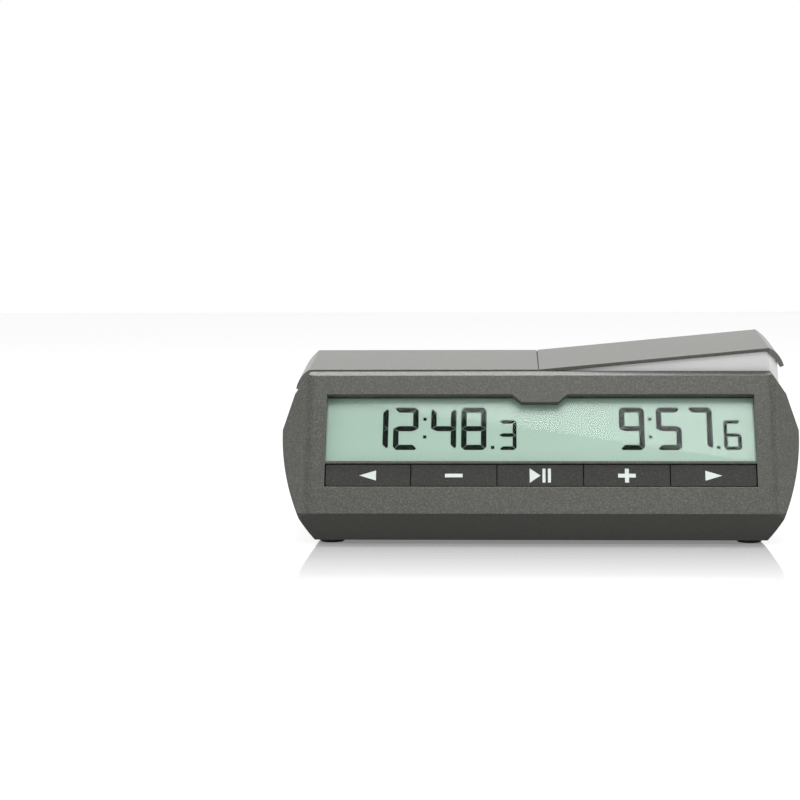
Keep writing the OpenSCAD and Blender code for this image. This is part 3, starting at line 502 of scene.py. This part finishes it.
keyRow = dict(pitch=25.44 * mm, centre=11.9 * mm, sink=0.35 * mm, inkNear=0.02 * mm, inkFar=0.15 * mm)
iconSizes = dict(arrow=(5 * mm, 3.1 * mm), minus=(5.2 * mm, 1.15 * mm), cross=(5.2 * mm, 4.3 * mm),
                 crossStroke=1.2 * mm, play=(3.2 * mm, 4.5 * mm), playShift=-1.5 * mm,
                 pause=(0.9 * mm, 4.3 * mm), pauseAt=(1.1 * mm, 2.7 * mm))


def triangleOutline(width, height, direction=1):
    points = [(-width / 2, -height / 2), (width / 2, 0), (-width / 2, height / 2)]
    return points if direction > 0 else [(-x, z) for x, z in reversed(points)]


def barOutline(width, height, x=0.0):
    return [(x - width / 2, -height / 2), (x + width / 2, -height / 2), (x + width / 2, height / 2),
            (x - width / 2, height / 2)]


def crossOutline(width, height, stroke):
    h, w, s = height / 2, width / 2, stroke / 2
    return [(-w, -s), (-s, -s), (-s, -h), (s, -h), (s, -s), (w, -s), (w, s), (s, s), (s, h), (-s, h),
            (-s, s), (-w, s)]


playArrow = [(x + iconSizes["playShift"], z) for x, z in triangleOutline(*iconSizes["play"])]
icons = {
    "back": (-2, [triangleOutline(*iconSizes["arrow"], -1)]),
    "minus": (-1, [barOutline(*iconSizes["minus"])]),
    "play": (0, [playArrow] + [barOutline(*iconSizes["pause"], x) for x in iconSizes["pauseAt"]]),
    "plus": (1, [crossOutline(*iconSizes["cross"], iconSizes["crossStroke"])]),
    "forward": (2, [triangleOutline(*iconSizes["arrow"])]),
}
print("button icons")
inkNear, inkFar = keyRow["sink"] + keyRow["inkNear"], keyRow["sink"] + keyRow["inkFar"]
for iconName, (step, outlines) in icons.items():
    across, up = step * keyRow["pitch"], keyRow["centre"]
    meshes = [prism("icon", [(x + across, z + up) for x, z in outline], inkNear, inkFar)
              for outline in outlines]
    mesh = joined(iconName + "Icon", meshes)
    mesh.transform(faceFrame)
    finishPiece(iconName + "Icon", mesh, "icon", iconName + "_button")

# floor, light and camera

studio = dict(floorSize=6.0, floorGlow=0.68, polish=0.67, polishStart=-27 * mm, polishEnd=-160 * mm,
              floorColour=(0.4, 0.4, 0.4, 1), sharpest=0.05, dullest=0.08, ambient=0.5)


def floorFinish():
    # a pale table, polished in front of the clock, whose polish fades towards the viewer
    finish = Finish("paleFloor", Specular_IOR_Level=0.0, Roughness=0.9)
    cloud = finish.noise(3, 2.0)
    seen = finish.add("ShaderNodeLightPath", out="Is Camera Ray")
    finish.feed(Base_Color=studio["floorColour"], Emission_Color=(1, 1, 1, 1),
                Emission_Strength=seen * studio["floorGlow"])
    depth = finish.add("ShaderNodeSeparateXYZ", None, {"Vector": finish.place()}, "Y")
    polish = finish.add("ShaderNodeMapRange", None,
                        {"Value": depth, "From Min": studio["polishEnd"], "From Max": studio["polishStart"],
                         "To Min": 0.0, "To Max": studio["polish"]})
    rough = finish.span(cloud, 0.3, 0.7, studio["sharpest"], studio["dullest"])
    mirror = finish.add("ShaderNodeBsdfGlossy", None, {"Color": (1, 1, 1, 1), "Roughness": rough})
    return finish.blendShaders(polish, finish.shaderWire(), mirror)


print("studio")
floorMesh = bpy.data.meshes.new("floor")
half = studio["floorSize"] / 2
floorMesh.from_pydata([(-half, -half, 0), (half, -half, 0), (half, half, 0), (-half, half, 0)], [],
                      [(0, 1, 2, 3)])
floorMesh.materials.append(floorFinish())
floor = bpy.data.objects.new("floor", floorMesh)
bpy.context.scene.collection.objects.link(floor)

world = bpy.data.worlds.new("studioWorld")
bpy.context.scene.world = world
world.use_nodes = True
worldTree = world.node_tree
background = worldTree.nodes["Background"]
path = worldTree.nodes.new("ShaderNodeLightPath")
seenBy = Wire(worldTree, path.outputs["Is Camera Ray"])
glossy = Wire(worldTree, path.outputs["Is Glossy Ray"])
through = Wire(worldTree, path.outputs["Is Transmission Ray"])
white = seenBy.maths("MINIMUM", seenBy + glossy + through, 1.0)
background.inputs["Color"].default_value = (1, 1, 1, 1)
brightness = studio["ambient"] + white * (1 - studio["ambient"])
worldTree.links.new(brightness.socket, background.inputs["Strength"])

# glow is a lamp's brightness, where 1 is a white wall's
lamps = {
    "overhead": dict(place=(0, 0.27, 0.9), aim=(0, 0, 0.03), size=(1.0, 0.26), glow=13.0),
    "left": dict(place=(-0.8, -0.3, 0.25), aim=(0, 0, 0.03), size=(0.5, 0.5), glow=1.6),
    "right": dict(place=(0.8, -0.3, 0.25), aim=(0, 0, 0.03), size=(0.5, 0.5), glow=1.6),
}


def softbox(name, matrix, size, glow):
    data = bpy.data.lights.new(name, "AREA")
    data.shape = "RECTANGLE"
    data.size, data.size_y = size
    data.energy = glow * pi * size[0] * size[1]
    light = bpy.data.objects.new(name, data)
    light.matrix_world = matrix
    bpy.context.scene.collection.objects.link(light)
    return light


for lampName, lamp in lamps.items():
    direction = Vector(lamp["aim"]) - Vector(lamp["place"])
    turned = direction.to_track_quat("-Z", "Y").to_matrix().to_4x4()
    softbox(lampName, Matrix.Translation(lamp["place"]) @ turned, lamp["size"], lamp["glow"])

view = dict(place=(-8.23 * mm, -578.5 * mm, 80.5 * mm), turn=radians(1.937), tilt=radians(3.929),
            roll=radians(-0.17), lens=85.6, shift=-0.06, sensor=36, nearest=0.02)
cameraData = bpy.data.cameras.new("camera")
cameraData.lens = view["lens"]
cameraData.sensor_width = view["sensor"]
cameraData.shift_x = view["shift"]
cameraData.clip_start = view["nearest"]
camera = bpy.data.objects.new("camera", cameraData)
camera.matrix_world = (Matrix.Translation(view["place"]) @ Matrix.Rotation(view["turn"], 4, "Z")
                       @ Matrix.Rotation(pi / 2 - view["tilt"], 4, "X")
                       @ Matrix.Rotation(view["roll"], 4, "Z"))
bpy.context.scene.collection.objects.link(camera)
bpy.context.scene.camera = camera

# a window light whose mirror image ends in a slanting line across the display

windowLight = dict(distance=0.75, reach=0.75, glow=7.0, high=20.3 * mm, low=0.2 * mm, half=62.5 * mm,
                   longer=1.6)
facing = windowFrame.to_3x3() @ Vector((0, -1, 0))
paneOrigin = windowFrame.translation
eye = Vector(view["place"])
mirroredEye = eye - 2 * (eye - paneOrigin).dot(facing) * facing


def throughPane(x, z):                   # where the mirrored line of sight through the pane goes on to
    point = windowFrame @ Vector((x, 0, z))
    ray = (point - mirroredEye).normalized()
    return point + ray * (windowLight["distance"] / ray.dot(facing))


cornerA = throughPane(-windowLight["half"], windowLight["high"])
cornerB = throughPane(windowLight["half"], windowLight["low"])
cornerC = throughPane(windowLight["half"], windowLight["high"])
along = (cornerB - cornerA).normalized()
aside = (cornerC - cornerA) - (cornerC - cornerA).dot(along) * along
aside.normalize()
length = (cornerB - cornerA).length * windowLight["longer"]
centre = (cornerA + cornerB) / 2 + aside * windowLight["reach"] / 2
normal = along.cross(aside)
if normal.dot(centre - paneOrigin) < 0:
    along = -along
    normal = -normal
axes = Matrix((along, aside, normal)).transposed().to_4x4()
softbox("windowLight", Matrix.Translation(centre) @ axes, (length, windowLight["reach"]),
        windowLight["glow"])

bpy.context.scene.view_settings.view_transform = "Standard"
